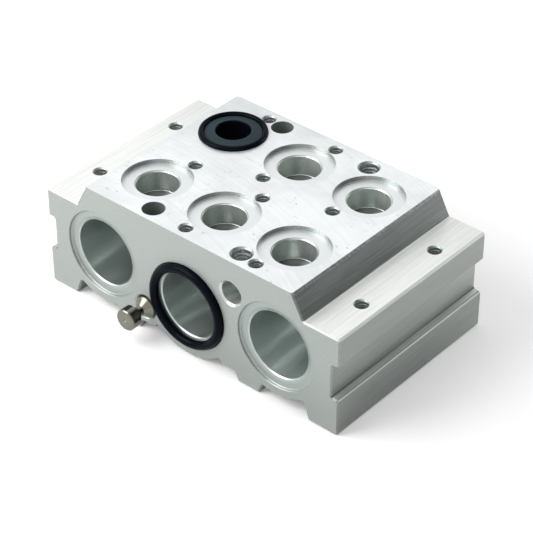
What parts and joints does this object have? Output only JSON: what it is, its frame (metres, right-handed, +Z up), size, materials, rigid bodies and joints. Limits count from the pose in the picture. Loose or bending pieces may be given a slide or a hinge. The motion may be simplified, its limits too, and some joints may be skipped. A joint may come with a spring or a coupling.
{
  "type": "air manifold block",
  "caption": "Extruded aluminium base block that feeds air from through bores to sealed ports on its deck, with tapped holes for valves and tie pins that join blocks end to end.",
  "frame": {"origin": "middle of the whole footprint, tie pin included, on the surface that the block stands on", "axes": "+X across the bores, +Y along the bores from the front end with the tie pin to the back end, +Z up out of the deck"},
  "size_m": [0.1, 0.0672, 0.0381],
  "materials": {
    "block_aluminium": "bright satin: milled deck, shelves and ends, drawn sides and underside, turned bores",
    "seal_rubber": "black moulded rubber, glossy on its rounded beads",
    "pin_steel": "turned and nickel plated, satin",
    "screw_steel": "hardened steel with a black oxide skin"
  },
  "bodies": {
    "root": {"manifold_block": "block_aluminium", "bore_seal": "seal_rubber", "port_seal": "seal_rubber", "tie_pin": "pin_steel", "pin_lock_screw": "screw_steel"}
  },
  "joints": []
}
